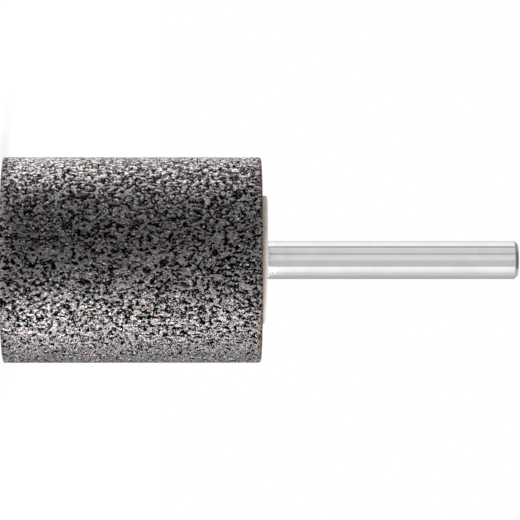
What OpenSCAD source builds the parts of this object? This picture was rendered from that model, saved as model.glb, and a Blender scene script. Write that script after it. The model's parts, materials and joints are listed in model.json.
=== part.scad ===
// Mounted point: a cylinder of bonded abrasive grain cemented on a plain steel shank.
// It stands on its free end, on the origin, with the shank pointing up along +Z.

/* [Abrasive cylinder] */
// Outside diameter of the abrasive
body_d = 32; // [24:0.5:50]
// Length of the abrasive
body_l = 40; // [25:0.5:60]
// Radius on the rim of the free end, which is dressed almost sharp
free_rim_r = 0.2; // [0.1:0.1:2]
// Radius on the rim of the face that the shank comes out of
face_rim_r = 0.5; // [0.1:0.1:2]
// Length of abrasive left solid between the hole and the free end
nose_l = 15; // [5:0.5:20]

/* [Shank] */
// Diameter of the plain shank that a collet grips
shank_d = 6; // [3:0.5:8]
// Length of shank that stands out of the abrasive
shank_out = 40; // [20:1:60]
// Chamfer on the outer end of the shank
shank_chamfer = 0.5; // [0.2:0.1:1]

/* [Knurled root] */
// Number of ridges round the buried root of the shank
knurl_count = 24; // [16:1:36]
// Height of the ridges above the plain shank
knurl_rise = 0.2; // [0.1:0.05:0.3]
// Depth of the grooves below the plain shank
knurl_depth = 0.15; // [0.05:0.05:0.3]
// Chamfer on the inner end of the root
root_chamfer = 0.6; // [0.2:0.1:1]

/* [Cement] */
// Thickness of cement round the ridges and under the root
cement_gap = 0.3; // [0.15:0.05:0.8]
// Diameter of the collar cast on the face of the abrasive
collar_d = 20; // [12:0.5:22]
// Thickness of the collar on the axis of the shank
collar_t = 0.8; // [0.6:0.1:2]
// Radius on the outer edge of the collar
collar_edge_r = 0.4; // [0.1:0.1:0.5]
// Angle by which the face of the collar leans from square
collar_lean = 1; // [0:0.25:2]
// Thickness of cement left over the top of the ridges
cement_skin = 0.05; // [0.02:0.01:0.08]

/* [Hidden] */
$fn = 96;

body_r = body_d / 2;
shank_r = shank_d / 2;
collar_r = collar_d / 2;

// Radii of the root: over the ridges, in the grooves, and of the hole that it sits in
crest_r = shank_r + knurl_rise;
groove_r = shank_r - knurl_depth;
hole_r = crest_r + cement_gap;

// Heights along the axis, from the free end up
root_z = nose_l + cement_gap;
collar_z = body_l + collar_t;
knurl_top_z = collar_z - crest_r * tan(collar_lean) - cement_skin;
shank_top_z = body_l + shank_out;

// The leaning collar disc reaches below the face of the abrasive all the way round
collar_disc_h = collar_t + 2 * collar_r * tan(collar_lean) + collar_edge_r;

// Half section of a disc with its foot on the X axis and its upper outer edge rounded
module rounded_top_section(r, h, edge_r) {
    square([r - edge_r, h]);
    square([r, h - edge_r]);
    translate([r - edge_r, h - edge_r])
        circle(edge_r);
}

// Half section of a disc with both outer edges rounded
module rounded_section(r, h, foot_edge_r, top_edge_r) {
    intersection() {
        rounded_top_section(r, h, top_edge_r);
        translate([0, h])
            mirror([0, 1])
                rounded_top_section(r, h, foot_edge_r);
    }
}

// Outline of the knurl: straight-sided ridges between sharp grooves
module knurl_outline() {
    half_pitch = 180 / knurl_count;
    polygon([
        for (i = [0 : 2 * knurl_count - 1])
            let (r = i % 2 == 0 ? crest_r : groove_r)
                r * [cos(i * half_pitch), sin(i * half_pitch)]
    ]);
}

// The buried root: knurled over its whole length and chamfered at its inner end
module knurled_root() {
    root_l = knurl_top_z - root_z;
    end_r = crest_r - root_chamfer;
    translate([0, 0, root_z])
        intersection() {
            linear_extrude(root_l)
                knurl_outline();
            cylinder(r1 = end_r, r2 = end_r + root_l, h = root_l);
        }
}

// The plain length that the collet grips, with its chamfered end
module plain_shank() {
    chamfer_z = shank_top_z - shank_chamfer;
    translate([0, 0, knurl_top_z])
        cylinder(r = shank_r, h = chamfer_z - knurl_top_z);
    translate([0, 0, chamfer_z])
        cylinder(r1 = shank_r, r2 = shank_r - shank_chamfer, h = shank_chamfer);
}

module shank_solid() {
    knurled_root();
    plain_shank();
}

// The collar, poured a little out of square, with its foot flat on the abrasive
module leaning_collar() {
    intersection() {
        translate([0, 0, collar_z])
            rotate([0, collar_lean, 0])
                translate([0, 0, -collar_disc_h])
                    rotate_extrude()
                        rounded_top_section(collar_r, collar_disc_h, collar_edge_r);
        translate([-collar_d, -collar_d, body_l])
            cube([2 * collar_d, 2 * collar_d, collar_disc_h + collar_t]);
    }
}

// Bonded grain, moulded with a blind hole for the shank
module abrasive_cylinder() {
    color([0.27, 0.26, 0.26])
        difference() {
            rotate_extrude()
                rounded_section(body_r, body_l, free_rim_r, face_rim_r);
            translate([0, 0, nose_l])
                cylinder(r = hole_r, h = body_l);
        }
}

// Cement that fills the hole round the root and spreads into a collar on the face
module cement_collar() {
    color([0.74, 0.68, 0.62])
        difference() {
            union() {
                translate([0, 0, nose_l])
                    cylinder(r = hole_r, h = body_l - nose_l);
                leaning_collar();
            }
            shank_solid();
        }
}

// Bright ground steel
module shank() {
    color([0.8, 0.8, 0.8])
        shank_solid();
}

abrasive_cylinder();
cement_collar();
shank();
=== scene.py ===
# %% [markdown]
# # A mounted point, dressed for the camera
# The tool is a cylinder of bonded abrasive grain, cemented on a steel shank that a grinder's
# collet grips. Its solids come from a CAD model, which is loaded first and never moved. This
# lesson gives them their real surfaces: open grain, cast cement and ground steel.

# %% Load the CAD frame
import json
import math

import bpy
from mathutils import Matrix, Vector


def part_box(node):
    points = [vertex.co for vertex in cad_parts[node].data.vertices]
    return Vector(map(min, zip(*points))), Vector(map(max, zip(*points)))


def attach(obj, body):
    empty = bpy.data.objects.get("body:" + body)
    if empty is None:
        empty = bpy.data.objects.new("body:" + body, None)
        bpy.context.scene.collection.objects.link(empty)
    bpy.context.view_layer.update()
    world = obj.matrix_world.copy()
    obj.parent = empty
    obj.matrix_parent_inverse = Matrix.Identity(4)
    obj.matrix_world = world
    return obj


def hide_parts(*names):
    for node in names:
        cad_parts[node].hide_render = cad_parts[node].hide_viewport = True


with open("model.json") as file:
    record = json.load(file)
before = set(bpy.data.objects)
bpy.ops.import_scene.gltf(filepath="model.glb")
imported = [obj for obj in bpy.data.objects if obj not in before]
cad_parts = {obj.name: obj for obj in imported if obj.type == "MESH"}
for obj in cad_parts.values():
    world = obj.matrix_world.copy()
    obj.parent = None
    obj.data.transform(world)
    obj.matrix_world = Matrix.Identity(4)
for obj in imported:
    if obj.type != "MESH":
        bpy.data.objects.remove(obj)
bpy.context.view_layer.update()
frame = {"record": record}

# %% [markdown]
# ## Sizes
# Sizes that a box or a mount tells are read from the CAD model, so the pieces made here fit
# without any adjusting. What a box can't tell, such as the radii of the two rims here and the
# chamfers and the knurl later on, repeats the model's values. The scene is in metres, as Blender
# is, but a tool this small is easier to think about in millimetres. So the meshes are worked out
# in millimetres and scaled down at the end.

# %% Read the sizes from the frame
MM = 0.001
FREE_RIM_R = 0.2
FACE_RIM_R = 0.5

body_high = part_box("abrasive_cylinder")[1] / MM
cement_low, cement_high = (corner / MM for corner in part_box("cement_collar"))
shank_low, shank_high = (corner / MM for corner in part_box("shank"))
shank_mount = next(mount for mount in frame["record"]["mounts"] if mount["name"] == "shank")

BODY_R = body_high.x
BODY_L = body_high.z
SHANK_R = shank_mount["dims"]["r_mm"]
SHANK_TOP = shank_high.z
ROOT_END = shank_low.z
CREST_R = shank_high.x
HOLE_FLOOR = cement_low.z
HOLE_R = CREST_R + ROOT_END - HOLE_FLOOR
COLLAR_R = cement_high.y
print("abrasive", BODY_R, BODY_L, "shank", SHANK_R, SHANK_TOP)
print("hole", HOLE_R, HOLE_FLOOR, "collar", COLLAR_R)

# %% [markdown]
# ## Camera
# The tool is photographed lying down, square to its axis, but it is stored standing on its free
# end, because lying down it would roll. So the camera is turned on its side: its right is the
# tool's +Z and its up is -X. The rims of the cylinder bulge a little in the picture, more at
# the free end than at the shank. That tells how far away the camera is and which point of the
# axis it stands opposite.

# %% Make the camera
PICTURE_PX = 520
PX_PER_MM = 6.42
EYE_DISTANCE = 520
EYE_HEIGHT = 27.7
AIM_HEIGHT = 39.84

eye = Vector((0, -EYE_DISTANCE, EYE_HEIGHT)) * MM
aim = Vector((0, 0, AIM_HEIGHT)) * MM
forward = (aim - eye).normalized()
picture_up = Vector((-1, 0, 0))
picture_right = forward.cross(picture_up)

camera = bpy.data.objects.new("camera", bpy.data.cameras.new("camera"))
bpy.context.scene.collection.objects.link(camera)
camera.data.angle = 2 * math.atan(PICTURE_PX / PX_PER_MM / 2 * MM / (aim - eye).length)
turned = Matrix((picture_right, picture_up, -forward)).transposed().to_4x4()
camera.matrix_world = Matrix.Translation(eye) @ turned
bpy.context.scene.camera = camera
print("lens", round(camera.data.lens, 1), "mm")

# %% [markdown]
# ## Helpers for node trees
# Geometry trees and materials are both made of nodes, and many kinds of node work in both. These
# few helpers keep the later cells short: most of them add one node, feed its inputs and return
# the output that matters.

# %% Node helpers
def add_node(tree, kind, inputs=None, **settings):
    """Adds a node, sets it up, and feeds its inputs with values or with other nodes' outputs."""
    made = tree.nodes.new(kind)
    for name, setting in settings.items():
        setattr(made, name, setting)
    feed(tree, made, inputs or {})
    return made


def feed(tree, node, inputs):
    """Sets a node's inputs, or links them where the source is another node's output."""
    for key, source in inputs.items():
        if isinstance(source, bpy.types.NodeSocket):
            tree.links.new(source, node.inputs[key])
        else:
            node.inputs[key].default_value = source


def maths(tree, operation, *values):
    """One sum on numbers."""
    inputs = dict(enumerate(values))
    return add_node(tree, "ShaderNodeMath", inputs, operation=operation).outputs[0]


def vector_maths(tree, operation, *values):
    """One sum on vectors that gives a vector."""
    inputs = dict(enumerate(values))
    return add_node(tree, "ShaderNodeVectorMath", inputs, operation=operation).outputs[0]


def scaled(tree, vector, factor):
    """A vector times a number."""
    inputs = {"Vector": vector, "Scale": factor}
    return add_node(tree, "ShaderNodeVectorMath", inputs, operation="SCALE").outputs[0]


def length_of(tree, vector):
    """How long a vector is."""
    return add_node(tree, "ShaderNodeVectorMath", {0: vector}, operation="LENGTH").outputs["Value"]


def part_of(tree, vector, axis):
    """The X, Y or Z of a vector."""
    return add_node(tree, "ShaderNodeSeparateXYZ", {"Vector": vector}).outputs[axis]


def remap(tree, value, low, high, to_low=0.0, to_high=1.0, curve="LINEAR"):
    """Moves a value from one range to another, and holds it at the ends."""
    ends = {"Value": value, "From Min": low, "From Max": high, "To Min": to_low, "To Max": to_high}
    return add_node(tree, "ShaderNodeMapRange", ends, interpolation_type=curve).outputs["Result"]


def noise(tree, place, size, detail=2.0, roughness=0.5, output="Fac"):
    """Noise with lumps of about that size, from 0 to 1."""
    inputs = {"Vector": place, "Scale": 1 / size, "Detail": detail, "Roughness": roughness}
    return add_node(tree, "ShaderNodeTexNoise", inputs).outputs[output]


def cells(tree, place, size, output="Color", feature="F1"):
    """Space divided into irregular cells of about that size."""
    inputs = {"Vector": place, "Scale": 1 / size}
    return add_node(tree, "ShaderNodeTexVoronoi", inputs, feature=feature).outputs[output]


def mix_colours(tree, factor, first, second):
    """Goes from the first colour to the second as the factor goes from 0 to 1."""
    inputs = {0: factor, 6: first, 7: second}
    return add_node(tree, "ShaderNodeMix", inputs, data_type="RGBA").outputs[2]


print("node helpers ready")

# %% [markdown]
# ## Turning a half section
# The abrasive, the cement and the shank are all round, so each could be made from a Cylinder with
# bevels. A half section is better: it is the line that a turner would draw, from the axis out
# round the piece and back to the axis. A Geometry Nodes tree turns it about the axis. It makes a
# grid with one row for each point of the section and sends each grid point to its place.

# %% Half sections
def straight(start, end, step):
    """Points from start up to, but not at, end, no further apart than step."""
    start, end = Vector(start), Vector(end)
    count = max(1, math.ceil((end - start).length / step))
    return [start.lerp(end, i / count) for i in range(count)]


def rounded(centre, radius, start, end, count):
    """Points of a rounded corner, from one angle to another in degrees, both ends included."""
    angles = [math.radians(start + (end - start) * i / count) for i in range(count + 1)]
    return [Vector(centre) + radius * Vector((math.cos(a), math.sin(a))) for a in angles]


def broken_edge(before, corner, after, radius, count=4):
    """Points that break a sharp corner, with one more on each side to keep the flats flat."""
    corner = Vector(corner)
    ways = [(Vector(side) - corner).normalized() * radius for side in (before, after)]
    start, end = (corner + way for way in ways)
    curve = []
    for i in range(count + 1):
        share = i / count
        curve.append(start.lerp(corner, share).lerp(corner.lerp(end, share), share))
    return [corner + 2 * ways[0]] + curve + [corner + 2 * ways[1]]


def section_mesh(name, points, marks):
    """A half section as a wire, with marks that say what happens at each of its points."""
    mesh = bpy.data.meshes.new(name)
    wire = [(i, i + 1) for i in range(len(points) - 1)]
    mesh.from_pydata([(r, 0, z) for r, z in points], wire, [])
    for mark, values in marks.items():
        mesh.attributes.new(mark, "FLOAT", "POINT").data.foreach_set("value", values)
    print(name, len(points), "points")
    return mesh


# %% Helpers for geometry trees
def new_tree(name, sizes):
    """A Geometry Nodes tree with a mesh coming in, a mesh going out, and named sizes to set."""
    tree = bpy.data.node_groups.new(name, "GeometryNodeTree")
    tree.interface.new_socket("Geometry", in_out="INPUT", socket_type="NodeSocketGeometry")
    for size, value in sizes.items():
        kind = "NodeSocketInt" if isinstance(value, int) else "NodeSocketFloat"
        tree.interface.new_socket(size, in_out="INPUT", socket_type=kind).default_value = value
    tree.interface.new_socket("Geometry", in_out="OUTPUT", socket_type="NodeSocketGeometry")
    return tree, tree.nodes.new("NodeGroupInput").outputs


def attribute(tree, name, kind="FLOAT"):
    """Reads a named attribute of the mesh."""
    made = add_node(tree, "GeometryNodeInputNamedAttribute", {"Name": name}, data_type=kind)
    return made.outputs["Attribute"]


def keep(tree, mesh, name, value, kind="FLOAT", domain="POINT"):
    """Writes a named attribute on the mesh."""
    inputs = {"Geometry": mesh, "Name": name, "Value": value}
    made = add_node(tree, "GeometryNodeStoreNamedAttribute", inputs, data_type=kind, domain=domain)
    return made.outputs["Geometry"]


def position(tree):
    """The place of each point."""
    return add_node(tree, "GeometryNodeInputPosition").outputs["Position"]


def move(tree, mesh, offset):
    """Moves each point by its own offset."""
    inputs = {"Geometry": mesh, "Offset": offset}
    return add_node(tree, "GeometryNodeSetPosition", inputs).outputs["Geometry"]


def whole_maths(tree, operation, first, second):
    """One sum on whole numbers."""
    inputs = {0: first, 1: second}
    return add_node(tree, "FunctionNodeIntegerMath", inputs, operation=operation).outputs[0]


def sample(tree, mesh, value, index, kind="FLOAT"):
    """The value that one point of a mesh has."""
    inputs = {"Geometry": mesh, "Value": value, "Index": index}
    return add_node(tree, "GeometryNodeSampleIndex", inputs, data_type=kind).outputs["Value"]


print("geometry helpers ready")

# %% The tree that turns a section
BAKE_MAP = "OFBake"
SECTION_ROW = "section_row"
TURNS = "turns"
SEAM_GAP = 1e-4

skin, given = new_tree("turned_skin", {"Columns": 64})
section = given["Geometry"]
counted = add_node(skin, "GeometryNodeAttributeDomainSize", {"Geometry": section})
rows = counted.outputs["Point Count"]
edge_columns = maths(skin, "ADD", given["Columns"], 1)
grid = add_node(skin, "GeometryNodeMeshGrid", {"Vertices X": edge_columns, "Vertices Y": rows}).outputs
index = add_node(skin, "GeometryNodeInputIndex").outputs["Index"]
row = whole_maths(skin, "MODULO", index, rows)
turns = maths(skin, "DIVIDE", whole_maths(skin, "DIVIDE_FLOOR", index, rows), given["Columns"])
point = sample(skin, section, position(skin), row, "FLOAT_VECTOR")
inputs = {"Vector": point, "Angle": maths(skin, "MULTIPLY", turns, 2 * math.pi)}
place = add_node(skin, "ShaderNodeVectorRotate", inputs, rotation_type="Z_AXIS").outputs["Vector"]
mesh = keep(skin, grid["Mesh"], BAKE_MAP, grid["UV Map"], "FLOAT2", "CORNER")
mesh = keep(skin, mesh, SECTION_ROW, row, "INT")
mesh = keep(skin, mesh, TURNS, turns)
inputs = {"Geometry": mesh, "Position": place}
mesh = add_node(skin, "GeometryNodeSetPosition", inputs).outputs["Geometry"]
inputs = {"Geometry": mesh, "Distance": SEAM_GAP}
mesh = add_node(skin, "GeometryNodeMergeByDistance", inputs).outputs["Geometry"]
add_node(skin, "NodeGroupOutput", {"Geometry": mesh})
print(skin.name, len(skin.nodes), "nodes")

# %% [markdown]
# ## From a tree to a plain mesh
# Each piece has a tree of its own that holds the turning tree as a group and adds what is special
# to it. The marks on the section are read back by row. A tree that still hung on its object would
# be lost in an export, so the result is copied into a plain mesh and the object that made it goes.

# %% Making a piece
def turn(tree, given):
    """Puts the turning group into a tree."""
    inputs = {"Geometry": given["Geometry"], "Columns": given["Columns"]}
    return add_node(tree, "GeometryNodeGroup", inputs, node_tree=skin).outputs["Geometry"]


def mark_at_row(tree, given, name):
    """What the section's mark says at the row that a point belongs to."""
    row = attribute(tree, SECTION_ROW, "INT")
    return sample(tree, given["Geometry"], attribute(tree, name), row)


def end_tree(tree, mesh, material):
    """Ends a tree with a plain mesh that has its material."""
    mesh = add_node(tree, "GeometryNodeSetShadeSmooth", {"Geometry": mesh}).outputs["Geometry"]
    mesh = add_node(tree, "GeometryNodeRealizeInstances", {"Geometry": mesh}).outputs["Geometry"]
    inputs = {"Geometry": mesh, "Material": material}
    mesh = add_node(tree, "GeometryNodeSetMaterial", inputs).outputs["Geometry"]
    add_node(tree, "NodeGroupOutput", {"Geometry": mesh})


def make_piece(name, section, tree, sizes, kept_share=1.0):
    """Runs a tree on a section and keeps the result as a plain mesh in metres."""
    maker = bpy.data.objects.new(name + "_maker", section)
    bpy.context.scene.collection.objects.link(maker)
    modifier = maker.modifiers.new("make", "NODES")
    modifier.node_group = tree
    for socket in tree.interface.items_tree:
        if socket.in_out == "INPUT" and socket.name in sizes:
            modifier[socket.identifier] = sizes[socket.name]
    if kept_share < 1:
        maker.modifiers.new("thin", "DECIMATE").ratio = kept_share
    graph = bpy.context.evaluated_depsgraph_get()
    mesh = bpy.data.meshes.new_from_object(
        maker.evaluated_get(graph), preserve_all_data_layers=True, depsgraph=graph
    )
    bpy.data.objects.remove(maker)
    mesh.transform(Matrix.Scale(MM, 4))
    piece = bpy.data.objects.new(name, mesh)
    bpy.context.scene.collection.objects.link(piece)
    mesh.calc_loop_triangles()
    print(name, len(mesh.loop_triangles), "triangles")
    return piece


def hand_over(piece, node):
    """Hangs a piece on the root and hides the CAD node that it stands for."""
    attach(piece, "root")
    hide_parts(node)


# %% [markdown]
# ## The abrasive: where the pores are
# The cylinder is grains of a few tenths of a millimetre, held together by a bond. It was dressed
# true, so the grains end flush in flat tops, and between them lie black pores. One field of nodes
# says where the pores are. The mesh uses it to sink them and the material to blacken them, so the
# two agree. Noise opens the pores in ragged patches, and cells hold them back in the middle of
# each grain, which gives their edges corners.

# %% The pore field
GRAIN_SIZE = 0.36
GRAIN_WANDER = 0.19
PORE_PATCH = 0.54
PORE_WIDTH = 0.07
PORE_SPREAD = 1.3
JOINT_SHARE = 0.55
MIDDLE = (0.5, 0.5, 0.5)


def warped(tree, place):
    """Bends space a little, so that the grains aren't straight-sided."""
    sway = noise(tree, place, GRAIN_SIZE, detail=1.0, output="Color")
    sway = vector_maths(tree, "SUBTRACT", sway, MIDDLE)
    return vector_maths(tree, "ADD", place, scaled(tree, sway, GRAIN_WANDER))


def pore_gap(tree, place):
    """How far a place is inside the edge of a pore. It is below 0 on a grain."""
    joint = cells(tree, warped(tree, place), GRAIN_SIZE, "Distance", "DISTANCE_TO_EDGE")
    patch = noise(tree, place, PORE_PATCH, detail=3.0, roughness=0.7)
    patch = maths(tree, "SUBTRACT", patch, 0.5)
    width = maths(tree, "MULTIPLY_ADD", patch, PORE_SPREAD, PORE_WIDTH)
    return maths(tree, "MULTIPLY_ADD", joint, -JOINT_SHARE, width)


print("grains", GRAIN_SIZE, "mm, pores in patches of", PORE_PATCH, "mm")

# %% [markdown]
# ## The abrasive: the tops of the grains
# The dressed tops are broken into small flat facets, which is where the sparkle comes from. A
# Bump would round them off, so each cell leans the normal its own way, in three sizes, and more
# across the tool than along it. A rare chip leans far and flashes. A Bump still does what it is
# good at: it rounds the lips of the pores and sinks tiny pits.

# %% Facets of the grain
DRESSED_NORMAL = "dressed_normal"
FACETS = ((0.7, 0.06), (0.34, 0.07), (0.14, 0.18))
FACET_LAY = (1.0, 1.0, 0.3)
GLINT_SIZE = 0.2
GLINT_LEAN = 4.0
GLINT_RARITY = 6.0
LIP_DROP = 0.018
PIT_DEPTH = 0.015


def own_way(tree, place, size):
    """A direction that is different in each cell of that size."""
    return vector_maths(tree, "SUBTRACT", cells(tree, place, size), MIDDLE)


def facetted(tree, place, pore, lip, pit):
    """The normal of the dressed tops, leaned a different way in each small cell."""
    flat = add_node(tree, "ShaderNodeAttribute", attribute_name=DRESSED_NORMAL).outputs["Vector"]
    wall = add_node(tree, "ShaderNodeNewGeometry").outputs["Normal"]
    inputs = {0: pore, 4: flat, 5: wall}
    normal = add_node(tree, "ShaderNodeMix", inputs, data_type="VECTOR").outputs[1]
    for size, lean in FACETS:
        way = vector_maths(tree, "MULTIPLY", own_way(tree, place, size), FACET_LAY)
        normal = vector_maths(tree, "ADD", normal, scaled(tree, way, lean))
    way = own_way(tree, place, GLINT_SIZE)
    far = maths(tree, "POWER", length_of(tree, way), GLINT_RARITY)
    way = scaled(tree, way, maths(tree, "MULTIPLY", far, GLINT_LEAN))
    normal = vector_maths(tree, "NORMALIZE", vector_maths(tree, "ADD", normal, way))
    height = maths(tree, "MULTIPLY", lip, -LIP_DROP)
    height = maths(tree, "MULTIPLY_ADD", pit, -PIT_DEPTH, height)
    worn = {"Height": height, "Distance": MM, "Normal": normal}
    return add_node(tree, "ShaderNodeBump", worn).outputs["Normal"]


print("facets", FACETS, "size in mm and lean")

# %% [markdown]
# ## The abrasive: its material
# The grain is grey with a trace of violet, clouded here and rusty there, with a few chips that
# are almost white. It is hard and glassy with a metallic lustre, so the material is mostly metal:
# that keeps the colour dark and the gleam strong. The pores are painted black and rough: the black
# is partly their own dark inside and partly painted shade of their depth. Some have a brown crust.
# Dust of the cement has settled in the grain next to the face, and dulls it there.
# Each of these is one noise or one cell pattern that changes the colour made so far.

# %% Sizes and colours of the grain
GRAIN_PLACE = "grain_place"
PORE_EDGE = 0.025
LIP_WIDTH = 0.1
CHIP_SIZE = 0.16
CHIP_SHARE = 0.6
SPECK_RARITY = 0.97
SPECK_EDGE = 0.01
RUST_SIZE = 1.8
RUST_RANGE = (0.58, 0.72)
RUST_MOST = 0.8
CLOUD_SIZE = 1.3
CLOUD_TINT = 0.22
PIT_SIZE = 0.16
PIT_RANGE = (0.52, 0.62)
PIT_SHADE = 0.3
DUST_SIZE = 1.1
DUST_RANGE = (0.4, 0.6)
DUST_REACH = 1.8
DUST_MOST = 0.8
CRUST_SIZE = 0.9
CRUST_RANGE = (0.55, 0.7)
LUSTRE = 0.95
DUSTY_LUSTRE = 0.35
GRAIN_GLOSS = (0.12, 0.2)
PORE_ROUGHNESS = 0.9
GRAIN_DARK = (0.30, 0.281, 0.287, 1)
GRAIN_PALE = (0.39, 0.366, 0.371, 1)
RUST_BROWN = (0.27, 0.195, 0.165, 1)
SPECK_WHITE = (0.80, 0.78, 0.77, 1)
DUST_BROWN = (0.33, 0.25, 0.18, 1)
PORE_BLACK = (0.004, 0.004, 0.004, 1)
PORE_BROWN = (0.03, 0.013, 0.009, 1)


def new_material(name):
    """A material with one Principled shader, and its tree."""
    material = bpy.data.materials.new(name)
    material.use_nodes = True
    return material, material.node_tree, material.node_tree.nodes["Principled BSDF"]


def object_place(tree):
    """The place on the object in millimetres."""
    return scaled(tree, add_node(tree, "ShaderNodeTexCoord").outputs["Object"], 1 / MM)


print("grain from", GRAIN_DARK[:3], "to", GRAIN_PALE[:3])

# %% The abrasive's material
abrasive, tree, shader = new_material("abrasive_grain")
place = add_node(tree, "ShaderNodeAttribute", attribute_name=GRAIN_PLACE).outputs["Vector"]
gap = pore_gap(tree, place)
pore = remap(tree, gap, 0.0, PORE_EDGE, curve="SMOOTHSTEP")
lip = remap(tree, gap, -LIP_WIDTH, PORE_EDGE, curve="SMOOTHSTEP")
pick = add_node(tree, "ShaderNodeSeparateColor", {"Color": cells(tree, warped(tree, place), GRAIN_SIZE)})
chip = add_node(tree, "ShaderNodeSeparateColor", {"Color": cells(tree, place, CHIP_SIZE)})
inputs = {0: CHIP_SHARE, 2: pick.outputs[0], 3: chip.outputs[0]}
grey = add_node(tree, "ShaderNodeMix", inputs).outputs[0]
colour = mix_colours(tree, grey, GRAIN_DARK, GRAIN_PALE)
rust = remap(tree, noise(tree, place, RUST_SIZE, detail=3.0), *RUST_RANGE, 0.0, RUST_MOST)
colour = mix_colours(tree, rust, colour, RUST_BROWN)
cloud = scaled(tree, noise(tree, place, CLOUD_SIZE, output="Color"), CLOUD_TINT)
cloud = vector_maths(tree, "ADD", cloud, (1 - CLOUD_TINT / 2,) * 3)
colour = vector_maths(tree, "MULTIPLY", colour, cloud)
speck = remap(tree, chip.outputs[2], SPECK_RARITY, SPECK_RARITY + SPECK_EDGE)
colour = mix_colours(tree, speck, colour, SPECK_WHITE)
pit = noise(tree, place, PIT_SIZE, detail=2.0, roughness=0.7)
pit = remap(tree, pit, *PIT_RANGE, curve="SMOOTHSTEP")
colour = scaled(tree, colour, remap(tree, pit, 0.0, 1.0, 1.0, 1 - PIT_SHADE))
height = part_of(tree, object_place(tree), "Z")
dust = remap(tree, noise(tree, place, DUST_SIZE, detail=3.0), *DUST_RANGE)
dust = maths(tree, "MULTIPLY", dust, remap(tree, height, BODY_L - DUST_REACH, BODY_L, 0.0, DUST_MOST))
colour = mix_colours(tree, dust, colour, DUST_BROWN)
# The pores are painted black, partly as their own dark inside and partly as painted shade of their depth.
crust = remap(tree, noise(tree, place, CRUST_SIZE, detail=2.0), *CRUST_RANGE)
colour = mix_colours(tree, pore, colour, mix_colours(tree, crust, PORE_BLACK, PORE_BROWN))
gloss = remap(tree, pick.outputs[1], 0.0, 1.0, *GRAIN_GLOSS)
gloss = maths(tree, "MAXIMUM", gloss, maths(tree, "MULTIPLY", pore, PORE_ROUGHNESS))
lustre = remap(tree, dust, 0.0, 1.0, LUSTRE, DUSTY_LUSTRE)
normal = facetted(tree, place, pore, lip, pit)
feed(tree, shader, {"Base Color": colour, "Metallic": lustre, "Roughness": gloss, "Normal": normal})
print(abrasive.name, len(tree.nodes), "nodes")

# %% [markdown]
# ## The abrasive: its mesh
# The pores have to be real hollows, because they show on the rims and in any light. A fine grid
# is turned and its pores are pushed in, square to the surface. Their walls are steep and start
# at the blackened edge, so the tops stay flat up to it. The grain lies longer along the axis than
# across it, so the place that the field reads is scaled differently each way. Decimate then takes
# points off the flat tops and leaves them round the pores, where they are needed. It also pushes
# a few points out by hundredths, so the piece is dressed true at the end. Under the collar and in
# the hole for the shank the skin stays plain.

# %% The section of the abrasive
GRAIN_STEP = 0.14
RIM_STEPS = 6
UNDER_COLLAR = 0.5

free_in = BODY_R - FREE_RIM_R
face_in = BODY_R - FACE_RIM_R
face_rim_z = BODY_L - FACE_RIM_R
grain = straight((0, 0), (free_in, 0), GRAIN_STEP)
grain += rounded((free_in, FREE_RIM_R), FREE_RIM_R, -90, 0, RIM_STEPS)
grain += straight((BODY_R, FREE_RIM_R), (BODY_R, face_rim_z), GRAIN_STEP)[1:]
grain += rounded((face_in, face_rim_z), FACE_RIM_R, 0, 90, RIM_STEPS)
grain += straight((face_in, BODY_L), (COLLAR_R, BODY_L), GRAIN_STEP)[1:]
hidden = [(COLLAR_R - UNDER_COLLAR, BODY_L), (HOLE_R, BODY_L), (HOLE_R, HOLE_FLOOR), (0, HOLE_FLOOR)]
open_grain = [1.0] * len(grain) + [0.0] * len(hidden)
section = section_mesh("abrasive_section", grain + hidden, {"open_grain": open_grain})
columns = math.ceil(2 * math.pi * BODY_R / GRAIN_STEP)

# %% The abrasive's mesh
PORE_DEPTH = 0.45
PORE_FLOOR = 0.1
GRAIN_DROP = 0.02
GRAIN_SEED = 3
SEED_STRIDE = (31.7, 17.3, 23.9)
GRAIN_LAY = (1.2, 1.2, 0.75)
MOST_TRIANGLES = 192_000
TRUE_MARGIN = 0.006

sizes = {"Columns": columns, "Pore depth": PORE_DEPTH, "Grain drop": GRAIN_DROP, "Seed": GRAIN_SEED}
tree, given = new_tree("open_grain_skin", sizes)
mesh = turn(tree, given)
seed_shift = scaled(tree, SEED_STRIDE, given["Seed"])
grain_place = vector_maths(tree, "MULTIPLY", position(tree), GRAIN_LAY)
seeded_place = vector_maths(tree, "ADD", grain_place, seed_shift)
normal = add_node(tree, "GeometryNodeInputNormal").outputs["Normal"]
mesh = keep(tree, mesh, GRAIN_PLACE, seeded_place, "FLOAT_VECTOR")
mesh = keep(tree, mesh, DRESSED_NORMAL, normal, "FLOAT_VECTOR")
place = attribute(tree, GRAIN_PLACE, "FLOAT_VECTOR")
sink = remap(tree, pore_gap(tree, place), 0.0, PORE_FLOOR, curve="SMOOTHSTEP")
pick = part_of(tree, cells(tree, warped(tree, place), GRAIN_SIZE), "X")
drop = maths(tree, "MULTIPLY", pick, given["Grain drop"])
depth = maths(tree, "MULTIPLY_ADD", sink, given["Pore depth"], drop)
depth = maths(tree, "MULTIPLY", depth, mark_at_row(tree, given, "open_grain"))
inwards = scaled(tree, normal, maths(tree, "MULTIPLY", depth, -1.0))
end_tree(tree, move(tree, mesh, inwards), abrasive)

grid_triangles = 2 * columns * len(grain)
abrasive_piece = make_piece("abrasive_body", section, tree, sizes, MOST_TRIANGLES / grid_triangles)
true_r = (BODY_R - TRUE_MARGIN) * MM
for vertex in abrasive_piece.data.vertices:
    radius = vertex.co.xy.length
    if radius > true_r:
        vertex.co.xy *= true_r / radius
    vertex.co.z = min(max(vertex.co.z, 0), BODY_L * MM)
hand_over(abrasive_piece, "abrasive_cylinder")

# %% [markdown]
# ## The steel: its material
# The shank is ground between wheels, which leaves fine rings round it. They are too fine to see
# one by one, but they smear a reflection along the shank while it stays sharp across it. The
# rings are noise that is squeezed along the axis and stretched round it. The end was only turned:
# it is darker and duller, with circles that are noise of the distance from the axis.

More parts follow.
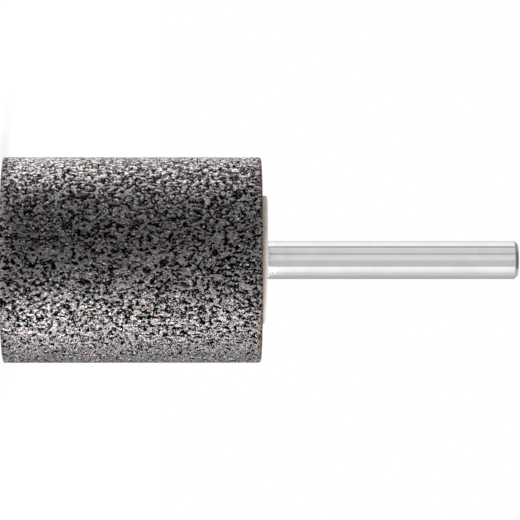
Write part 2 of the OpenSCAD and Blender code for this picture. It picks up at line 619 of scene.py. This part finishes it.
# %% The steel's material
RING_PITCH = 0.07
RING_HEIGHT = 0.0008
RING_STRETCH = (0.04, 0.04, 1.0)
RING_RANGE = (0.25, 0.75)
RING_GLOSS = (0.03, 0.07)
TARNISH_SIZE = 3.0
TARNISH_RANGE = (0.3, 0.7)
END_LOW = SHANK_TOP - 0.03
END_HIGH = SHANK_TOP - 0.01
END_ROUGHNESS = 0.4
CIRCLE_PITCH = 0.14
CIRCLE_HEIGHT = 0.03
STEEL_DULL = (0.74, 0.74, 0.735, 1)
STEEL_BRIGHT = (0.80, 0.80, 0.795, 1)
STEEL_TURNED = (0.40, 0.395, 0.39, 1)


def from_axis(tree, place):
    """The way from the tool's axis to a place."""
    return vector_maths(tree, "MULTIPLY", place, (1, 1, 0))


steel, tree, shader = new_material("ground_steel")
place = object_place(tree)
rings = noise(tree, vector_maths(tree, "MULTIPLY", place, RING_STRETCH), RING_PITCH, detail=2.0)
tarnish = remap(tree, noise(tree, place, TARNISH_SIZE, detail=3.0), *TARNISH_RANGE)
colour = mix_colours(tree, tarnish, STEEL_DULL, STEEL_BRIGHT)
gloss = remap(tree, rings, *RING_RANGE, *RING_GLOSS)
end = remap(tree, part_of(tree, place, "Z"), END_LOW, END_HIGH)
colour = mix_colours(tree, end, colour, STEEL_TURNED)
gloss = maths(tree, "MAXIMUM", gloss, maths(tree, "MULTIPLY", end, END_ROUGHNESS))
radius = length_of(tree, from_axis(tree, place))
circles = noise(tree, add_node(tree, "ShaderNodeCombineXYZ", {"X": radius}).outputs[0], CIRCLE_PITCH)
circles = maths(tree, "MULTIPLY", circles, maths(tree, "MULTIPLY", end, CIRCLE_HEIGHT))
height = maths(tree, "MULTIPLY_ADD", rings, RING_HEIGHT, circles)
normal = add_node(tree, "ShaderNodeBump", {"Height": height, "Distance": MM}).outputs["Normal"]
feed(tree, shader, {"Base Color": colour, "Metallic": 1.0, "Roughness": gloss, "Normal": normal})
print(steel.name, "with rings", RING_PITCH, "mm apart")

# %% [markdown]
# ## The cement: its material
# The cement is a pale beige powder that sets hard and dull. Up close it is sandy and a little
# blotched, with pinholes where air was caught, which are painted dark as the shade inside them.
# Its foot, where it meets the abrasive, is made darker and browner in blotches.

# %% The cement's material
SAND_SIZE = 0.22
SAND_HEIGHT = 0.05
SAND_SHARE = 0.6
BLOTCH_SIZE = 2.2
TONE_RANGE = (0.3, 0.7)
CEMENT_ROUGHNESS = 0.82
PINHOLE_CELL = 0.7
PINHOLE_R = 0.1
PINHOLE_RIM = 0.06
DARK_FOOT_HEIGHT = 0.45
DARK_FOOT_MOST = 0.9
DARK_FOOT_RANGE = (0.25, 0.55)
CEMENT_DARK = (0.47, 0.412, 0.36, 1)
CEMENT_PALE = (0.72, 0.66, 0.605, 1)
DARK_FOOT_BROWN = (0.30, 0.22, 0.16, 1)
PINHOLE_DARK = (0.16, 0.13, 0.11, 1)

cement, tree, shader = new_material("cast_cement")
place = object_place(tree)
sand = noise(tree, place, SAND_SIZE, detail=4.0, roughness=0.6)
blotch = maths(tree, "MULTIPLY", noise(tree, place, BLOTCH_SIZE), 1 - SAND_SHARE)
tone = maths(tree, "MULTIPLY_ADD", sand, SAND_SHARE, blotch)
colour = mix_colours(tree, remap(tree, tone, *TONE_RANGE), CEMENT_DARK, CEMENT_PALE)
# The foot of the collar, next to the abrasive, is made darker and browner in blotches.
foot = remap(tree, part_of(tree, place, "Z"), BODY_L, BODY_L + DARK_FOOT_HEIGHT, DARK_FOOT_MOST, 0.0)
dark_foot = maths(tree, "MULTIPLY", foot, remap(tree, sand, *DARK_FOOT_RANGE))
colour = mix_colours(tree, dark_foot, colour, DARK_FOOT_BROWN)
centre = cells(tree, place, PINHOLE_CELL, "Distance")
pinhole = remap(tree, centre, PINHOLE_R, PINHOLE_R + PINHOLE_RIM, 1.0, 0.0)
# The pinholes are painted dark, as painted shade inside them.
colour = mix_colours(tree, pinhole, colour, PINHOLE_DARK)
height = maths(tree, "MULTIPLY", maths(tree, "SUBTRACT", sand, pinhole), SAND_HEIGHT)
normal = add_node(tree, "ShaderNodeBump", {"Height": height, "Distance": MM}).outputs["Normal"]
feed(tree, shader, {"Base Color": colour, "Roughness": CEMENT_ROUGHNESS, "Normal": normal})
print(cement.name, "with sand of", SAND_SIZE, "mm")

# %% [markdown]
# ## The shank and its cement: sections
# The root of the shank is knurled so that it can't turn in the cement. The cement fills the hole
# round it, wells out on the face, and sets as a collar that leans a little. Where the collar
# meets the shank, it has crept up the steel in a small hollow curve. The inside of the cement
# is the root's own section, followed backwards, so the two pieces meet everywhere.

# %% The section of the shank
COLLAR_T = 0.8
ROOT_CHAMFER = 0.6
KNURL_UNDER_FACE = 0.106
KNURL_RUNOUT = 0.2
STEM_STEP = 0.5
END_CHAMFER = 0.5
BROKEN_EDGE = 0.06

face_z = BODY_L + COLLAR_T
knurl_top = face_z - KNURL_UNDER_FACE
root = [
    (0, ROOT_END),
    (CREST_R - ROOT_CHAMFER, ROOT_END),
    (CREST_R, ROOT_END + ROOT_CHAMFER),
    (CREST_R, knurl_top - KNURL_RUNOUT),
    (SHANK_R, knurl_top),
]
chamfer_low = (SHANK_R, SHANK_TOP - END_CHAMFER)
chamfer_high = (SHANK_R - END_CHAMFER, SHANK_TOP)
tip = (0, SHANK_TOP)


def ridge_marks(points):
    """1 where the root is at its full radius, 0 where it is no thicker than the plain shank."""
    return [min(1.0, max(0.0, (r - SHANK_R) / (CREST_R - SHANK_R))) for r, z in points]


stem = straight(root[-1], chamfer_low, STEM_STEP)[1:-1]
stem += broken_edge(root[-1], chamfer_low, chamfer_high, BROKEN_EDGE)
stem += broken_edge(chamfer_low, chamfer_high, tip, BROKEN_EDGE)
shank_points = root + stem + [tip]
shank_marks = {"ridge": ridge_marks(shank_points), "cast": [0.0] * len(shank_points)}
shank_section = section_mesh("shank_section", shank_points, shank_marks)

# %% The section of the cement
COLLAR_EDGE_R = 0.4
EDGE_STEPS = 6
CEMENT_SKIRT = 0.3
SKIRT_STEP = 0.15
FACE_STEP = 0.25
CREEP_R = 0.3
CREEP_STEPS = 5

skirt_z = BODY_L - CEMENT_SKIRT
edge_in = COLLAR_R - COLLAR_EDGE_R
edge_z = face_z - COLLAR_EDGE_R
creep = (SHANK_R + CREEP_R, face_z + CREEP_R)
buried = [(0, HOLE_FLOOR), (HOLE_R, HOLE_FLOOR), (HOLE_R, skirt_z)]
collar = straight((COLLAR_R, skirt_z), (COLLAR_R, edge_z), SKIRT_STEP)
collar += rounded((edge_in, edge_z), COLLAR_EDGE_R, 0, 90, EDGE_STEPS)
collar += straight((edge_in, face_z), (creep[0], face_z), FACE_STEP)[1:]
collar += rounded(creep, CREEP_R, 270, 180, CREEP_STEPS)
inside = root[::-1]
ridges = [0.0] * len(buried + collar) + ridge_marks(inside)
cast = [0.0] * len(buried) + [1.0] * len(collar) + [0.0] * len(inside)
cement_section = section_mesh("cement_section", buried + collar + inside, {"ridge": ridges, "cast": cast})

# %% [markdown]
# ## The shank and its cement: meshes
# One rule makes both. The radius dips between the ridges of the knurl, by a wave that goes round
# with the turning angle. Where the cement was free to flow, its rim wanders a little and its
# face leans, which are two more offsets. The shank has neither, so its sizes for them are 0.

# %% Meshes of the shank and the cement
RIDGES = 24
STEPS_PER_RIDGE = 8
RIDGE_DEPTH = 0.35
RIM_WANDER = 0.12
WANDER_SIZE = 5.0
CEMENT_SEED = 5


def cast_tree(name, sizes, material):
    """The tree for a round piece with a knurl and, where it is cast, a leaning, wandering rim."""
    tree, given = new_tree(name, sizes)
    mesh = turn(tree, given)
    spoke = from_axis(tree, position(tree))
    outwards = vector_maths(tree, "NORMALIZE", spoke)
    wave = maths(tree, "MULTIPLY", attribute(tree, TURNS), given["Ridges"])
    wave = maths(tree, "PINGPONG", wave, 0.5)
    dip = maths(tree, "MULTIPLY", wave, maths(tree, "MULTIPLY", given["Ridge depth"], -2.0))
    dip = maths(tree, "MULTIPLY", dip, mark_at_row(tree, given, "ridge"))
    mesh = move(tree, mesh, scaled(tree, outwards, dip))
    place = vector_maths(tree, "ADD", position(tree), scaled(tree, SEED_STRIDE, given["Seed"]))
    sway = maths(tree, "SUBTRACT", noise(tree, place, WANDER_SIZE), 0.5)
    sway = maths(tree, "MULTIPLY", sway, maths(tree, "MULTIPLY", given["Rim wander"], 2.0))
    at_rim = remap(tree, length_of(tree, spoke), SHANK_R + CREEP_R, COLLAR_R)
    wander = scaled(tree, outwards, maths(tree, "MULTIPLY", sway, at_rim))
    lean = maths(tree, "MULTIPLY", part_of(tree, spoke, "X"), maths(tree, "MULTIPLY", given["Lean"], -1.0))
    lean = add_node(tree, "ShaderNodeCombineXYZ", {"Z": lean}).outputs[0]
    free = vector_maths(tree, "ADD", wander, lean)
    mesh = move(tree, mesh, scaled(tree, free, mark_at_row(tree, given, "cast")))
    end_tree(tree, mesh, material)
    return tree


knurl = {"Columns": RIDGES * STEPS_PER_RIDGE, "Ridges": RIDGES, "Ridge depth": RIDGE_DEPTH}
sizes = {**knurl, "Lean": 0.0, "Rim wander": 0.0, "Seed": 0}
shank_piece = make_piece("shank_steel", shank_section, cast_tree("turned_shank", sizes, steel), sizes)
hand_over(shank_piece, "shank")
collar_slope = (cement_high.z - face_z) / edge_in
sizes = {**knurl, "Lean": collar_slope, "Rim wander": RIM_WANDER, "Seed": CEMENT_SEED}
cement_piece = make_piece("cement_cast", cement_section, cast_tree("cast_cement", sizes, cement), sizes)
hand_over(cement_piece, "cement_collar")

# %% [markdown]
# ## Studio: floor and background
# The tool stands on a pale floor in a white room. Both are white for the camera and for what
# metal shows, through Light Path, while the light that they give the tool stays at a plain level.
# A part of the floor's white is real diffuse colour, so the tool's shadow stays on it.

# %% Floor and background
FLOOR_SIZE = 8.0
FLOOR_GLOW_SHARE = 0.75
FLOOR_GLOW = 1.05
FLOOR_COLOUR = (0.8, 0.8, 0.8, 1)
FLOOR_ROUGHNESS = 0.9
ROOM_LIGHT = 0.9
WHITE = (1, 1, 1, 1)


def link_object(name, mesh):
    """Puts a mesh in the scene as an object."""
    made = bpy.data.objects.new(name, mesh)
    bpy.context.scene.collection.objects.link(made)
    return made


def seen_directly(tree):
    """1 for rays from the camera and for what metal and glass show, otherwise 0."""
    path = add_node(tree, "ShaderNodeLightPath").outputs
    seen = maths(tree, "MAXIMUM", path["Is Camera Ray"], path["Is Glossy Ray"])
    return maths(tree, "MAXIMUM", seen, path["Is Transmission Ray"])


half = FLOOR_SIZE / 2
corners = [(-half, -half, 0), (half, -half, 0), (half, half, 0), (-half, half, 0)]
floor_mesh = bpy.data.meshes.new("floor")
floor_mesh.from_pydata(corners, [], [(0, 1, 2, 3)])
floor_material, tree, shader = new_material("pale_floor")
feed(tree, shader, {"Base Color": FLOOR_COLOUR, "Roughness": FLOOR_ROUGHNESS})
glow = add_node(tree, "ShaderNodeEmission", {"Color": WHITE, "Strength": FLOOR_GLOW})
share = maths(tree, "MULTIPLY", seen_directly(tree), FLOOR_GLOW_SHARE)
blend = add_node(tree, "ShaderNodeMixShader", {0: share, 1: shader.outputs[0], 2: glow.outputs[0]})
tree.links.new(blend.outputs[0], tree.nodes["Material Output"].inputs["Surface"])
floor_mesh.materials.append(floor_material)
link_object("floor", floor_mesh)

world = bpy.data.worlds.new("studio")
bpy.context.scene.world = world
world.use_nodes = True
tree = world.node_tree
strength = remap(tree, seen_directly(tree), 0.0, 1.0, ROOM_LIGHT, 1.0)
feed(tree, tree.nodes["Background"], {"Color": WHITE, "Strength": strength})
print("room light", ROOM_LIGHT)

# %% [markdown]
# ## Studio: making cards
# Dark glossy grain and bright steel show what stands round them more than the light that falls on
# them. So, as in a real studio, bent cards stand round the tool, and only reflections see them.
# A card goes round the axis, and its tone changes from bearing to bearing. Close to the tool, the
# grain mirrors a bearing from its own surface and not from the axis, so there a card is twisted
# by as much.

# %% Making a card
CARD_STEP = 5
CARD_GLOW = "card_glow"

card_finish = bpy.data.materials.new("card")
card_finish.use_nodes = True
card_finish.cycles.emission_sampling = "NONE"
tree = card_finish.node_tree
glow = add_node(tree, "ShaderNodeAttribute", attribute_name=CARD_GLOW).outputs["Fac"]
light = add_node(tree, "ShaderNodeEmission", {"Strength": glow}).outputs[0]
tree.links.new(light, tree.nodes["Material Output"].inputs["Surface"])


def finer(stops):
    """The given stops with more between them, about CARD_STEP degrees apart."""
    fine = []
    for (start, low), (end, high) in zip(stops, stops[1:]):
        count = max(1, round((end - start) / CARD_STEP))
        for i in range(count):
            share = i / count
            fine.append((start + (end - start) * share, low + (high - low) * share))
    return fine + [stops[-1]]


def make_card(name, profile, stops, mirror_r=0.0):
    """A card bent round the tool. Each point of its profile is a distance from the axis and a
    height, in metres, and a share of the glow. Its stops are bearings in degrees, from the camera
    towards the picture's top, each with a glow. mirror_r is the radius of what mirrors it."""
    points = []
    glows = []
    for bearing, glow in finer(stops):
        seen = math.radians(bearing)
        for r, z, share in profile:
            angle = seen - math.asin(mirror_r * math.sin(seen / 2) / r)
            points.append((-math.sin(angle) * r, -math.cos(angle) * r, z))
            glows.append(glow * share)
    wide = len(profile)
    starts = [i for i in range(len(points) - wide) if (i + 1) % wide]
    mesh = bpy.data.meshes.new(name)
    mesh.from_pydata(points, [], [(i, i + 1, i + wide + 1, i + wide) for i in starts])
    mesh.attributes.new(CARD_GLOW, "FLOAT", "POINT").data.foreach_set("value", glows)
    mesh.materials.append(card_finish)
    card = link_object(name, mesh)
    card.visible_camera = False
    card.visible_diffuse = False
    card.visible_shadow = False
    print(name, len(starts), "faces")


# %% [markdown]
# ## Studio: the cards
# Seen from the camera, the flat tops of the grain mirror what stands near the floor, and the steel
# mirrors a strip above that, so each has a card of its own. The grain's card is bright on the
# picture's lower side and behind the tool, and dark in front, which gives the cylinder its light
# and dark bands. The bright bands are mostly three to four times as bright as white, and up to
# seven times where the grain next to the collar mirrors them. So there the grain renders brighter
# than its colour is written, and plainer light shows it darker. The card is dimmest where the
# middle of the tool mirrors it. The steel's strip has two narrow dark lines. A grey dome and a
# darker ceiling are for the chamfer and for views from above.

# %% Cards
STUDIO_R = 0.58
STRIP_R = 0.574
STRIP_LOW = 0.052
STRIP_HIGH = 0.16
MAT_Z = 0.0003
DOME_RISE = 70
DOME_STEP = 8
CEILING_Z = 0.6
CEILING_R = 0.3
CEILING_HOLE_R = 0.02
CEILING_GLOW = 0.2

mat_shares = ((0.02, 1.15), (0.03, 1.15), (0.05, 1.1), (0.1, 0.94), (0.2, 0.87), (0.35, 0.85))
wall_shares = ((MAT_Z, 0.8), (0.015, 0.84), (0.03, 1.2), (0.045, 1.8), (STRIP_LOW, 0.9))
grain_profile = [(r, MAT_Z, share) for r, share in mat_shares]
grain_profile += [(STUDIO_R, z, share) for z, share in wall_shares]
grain_stops = (
    (-180, 0.2), (-150, 0.38), (-125, 0.64), (-116, 0.92), (-106, 1.75), (-97, 3.4), (-82, 3.5), (-68, 3.6),
    (-54, 3.4), (-38, 0.54), (-25, 0.23), (-19, 0.23), (-8, 0.25), (3, 0.04), (12, 0.01), (50, 0.01),
    (62, 0.02), (76, 0.32), (88, 1.35), (102, 3.2), (127, 4.0), (150, 2.1), (180, 0.5),
)
make_card("grain_card", grain_profile, grain_stops, BODY_R * MM)

strip_profile = [(STRIP_R, STRIP_LOW, 1), (STRIP_R, STRIP_HIGH, 1)]
steel_stops = (
    (-165, 0.45), (-110, 0.6), (-100, 0.76), (-84, 0.78), (-76, 1.0), (-44, 1.2), (-39, 0.66), (-8, 0.66),
    (4, 0.86), (14, 0.88), (30, 0.8), (34, 0.5), (39, 0.5), (42, 0.76), (79, 0.82), (83, 0.2), (86, 0.2),
    (90, 0.85), (96, 1.1), (113, 1.15), (125, 1.05), (139, 0.9), (165, 0.85),
)
make_card("steel_strip", strip_profile, steel_stops)

rises = [math.radians(rise) for rise in range(0, DOME_RISE, DOME_STEP)]
dome_profile = [(STUDIO_R * math.cos(a), STRIP_HIGH + STUDIO_R * math.sin(a), 1) for a in rises]
dome_stops = (
    (-180, 0.5), (-90, 0.6), (-40, 0.5), (0, 0.4), (80, 0.4), (105, 0.35), (160, 0.35), (180, 0.5),
)
make_card("dome", dome_profile, dome_stops)
ceiling_profile = [(CEILING_HOLE_R, CEILING_Z, 1), (CEILING_R, CEILING_Z, 1)]
make_card("ceiling", ceiling_profile, ((-180, CEILING_GLOW), (180, CEILING_GLOW)))

# %% [markdown]
# ## Studio: lamp
# The cards give no light of their own to dull surfaces, so one large soft lamp does, from the
# picture's lower side. It gives the cement its shape and the floor its shadow.

# %% Lamp
LAMP_BEARING = -70
LAMP_RISE = 45
LAMP_SPREAD = 50
LAMP_STRENGTH = 1.8

bearing = math.radians(LAMP_BEARING)
rise = math.radians(LAMP_RISE)
level = math.cos(rise)
lamp_way = Vector((-math.sin(bearing) * level, -math.cos(bearing) * level, math.sin(rise)))
lamp = bpy.data.objects.new("soft_lamp", bpy.data.lights.new("soft_lamp", "SUN"))
bpy.context.scene.collection.objects.link(lamp)
lamp.data.energy = LAMP_STRENGTH
lamp.data.angle = math.radians(LAMP_SPREAD)
lamp.matrix_world = lamp_way.to_track_quat("Z", "Y").to_matrix().to_4x4()
lamp.visible_glossy = False
print("lamp", LAMP_STRENGTH)

# %% [markdown]
# The colours are shown as they are, without a film look. The pieces made here may not make the
# tool bigger.

# %% Finish
bpy.context.scene.view_settings.view_transform = "Standard"
